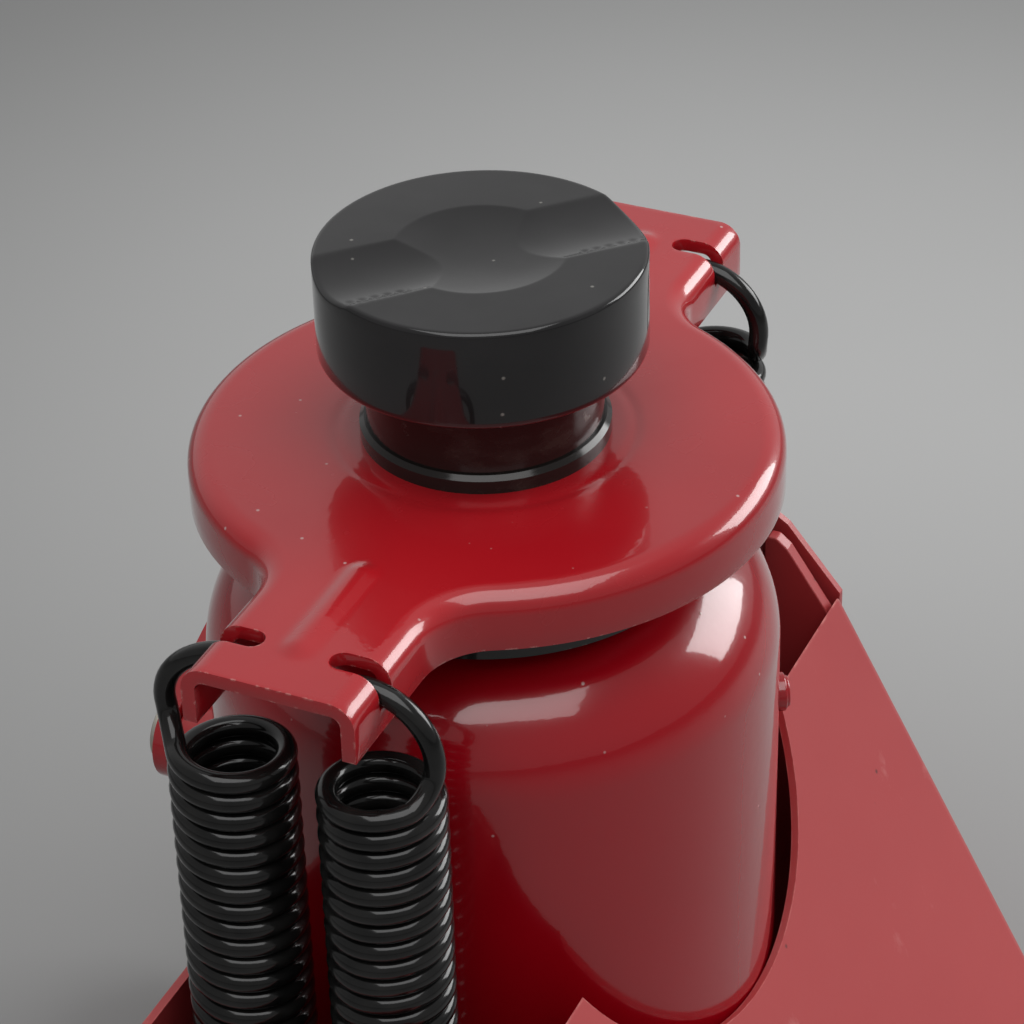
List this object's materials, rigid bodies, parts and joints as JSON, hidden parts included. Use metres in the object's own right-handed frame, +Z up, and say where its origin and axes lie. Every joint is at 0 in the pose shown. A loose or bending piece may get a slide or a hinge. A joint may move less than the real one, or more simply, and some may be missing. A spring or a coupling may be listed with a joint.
{
  "type": "bottle jack",
  "caption": "Hydraulic bottle jack with return springs hooked to a pressed plate on the ram, a swivelling grooved saddle and a folded sheet-steel housing with a sloped rear cover.",
  "frame": {"origin": "on the ground under the ram axis", "axes": "+Z up along the ram axis, +X along the right-hand spring arm, +Y to the rear where the sloped cover is"},
  "size_m": [0.2225, 0.223, 0.28],
  "materials": {
    "tank_red": "deep gloss enamel with slight orange peel",
    "plate_red": "gloss enamel over pressed sheet",
    "housing_red": "satin enamel over folded sheet",
    "cast_red": "enamel over cast metal",
    "lever_red": "enamel, worn at the socket's mouth",
    "gloss_black": "gloss black, worn to bare steel on its edges",
    "spring_black": "gloss black dip",
    "black_oxide": "black oxide",
    "ram_steel": "dark browned steel with an oil film",
    "bare_steel": "ground steel",
    "zinc": "zinc plated",
    "motor_alloy": "machined alloy",
    "brass": "machined brass",
    "seal": "matt nitrile rubber"
  },
  "bodies": {
    "base": {"base_casting": "cast_red", "base_gasket": "seal", "tank": "tank_red", "filler_plug": "tank_red", "pressure_cylinder": "bare_steel", "head_nut": "black_oxide", "head_seal": "seal", "ram_wiper": "seal", "suction_filter": "bare_steel", "check_balls": "bare_steel", "overload_plug": "zinc", "spring_right_rear": "spring_black", "spring_right_front": "spring_black", "spring_left_rear": "spring_black", "spring_left_front": "spring_black", "spring_anchor_bolts": "zinc", "housing": "housing_red", "housing_side_right": "housing_red", "housing_side_left": "housing_red", "inner_plate_right": "housing_red", "inner_plate_left": "housing_red", "housing_bolts": "zinc", "pump_body": "cast_red", "pump_seal": "seal", "lever_post": "cast_red", "lever_pivot_pin": "zinc", "valve_gland": "zinc", "air_motor_body": "motor_alloy", "air_motor_cap": "black_oxide", "air_cap_screws": "zinc", "air_inlet_fitting": "brass"},
    "ram": {"ram": "ram_steel", "ram_piston": "bare_steel", "piston_seal": "seal", "piston_nut": "zinc", "plate_clip": "black_oxide", "spring_plate": "plate_red", "collar_ring": "ram_steel"},
    "saddle": {"saddle": "gloss_black"},
    "lever": {"handle_socket": "lever_red"},
    "plunger": {"pump_plunger": "bare_steel", "plunger_pin": "zinc"},
    "release": {"release_valve": "zinc"},
    "air_piston": {"air_motor_piston": "motor_alloy"}
  },
  "joints": [
    {"name": "ram_lift", "type": "slide", "parent": "base", "child": "ram", "axis": [0, 0, 1], "range_m": [0, 0.11], "deforming": ["spring_right_rear", "spring_right_front", "spring_left_rear", "spring_left_front"]},
    {"name": "saddle_turn", "type": "hinge", "parent": "ram", "child": "saddle", "pos_m": [0, 0, 0.26], "axis": [0, 0, 1], "continuous": true},
    {"name": "lever_swing", "type": "hinge", "parent": "base", "child": "lever", "pos_m": [-0.016, -0.082, 0.116], "axis": [0, -1, 0], "range_deg": [0, 45]},
    {"name": "plunger_slide", "type": "slide", "parent": "base", "child": "plunger", "axis": [0, 0, -1], "range_m": [0, 0.0216]},
    {"name": "release_turn", "type": "hinge", "parent": "base", "child": "release", "pos_m": [-0.058, -0.094, 0.026], "axis": [0, -1, 0], "range_deg": [0, 270]},
    {"name": "air_piston_slide", "type": "slide", "parent": "base", "child": "air_piston", "axis": [0, 0, 1], "range_m": [0, 0.024]}
  ],
  "couplings": [
    {"joint": "plunger_slide", "follows": "lever_swing", "m_per_rad": 0.02742}
  ]
}
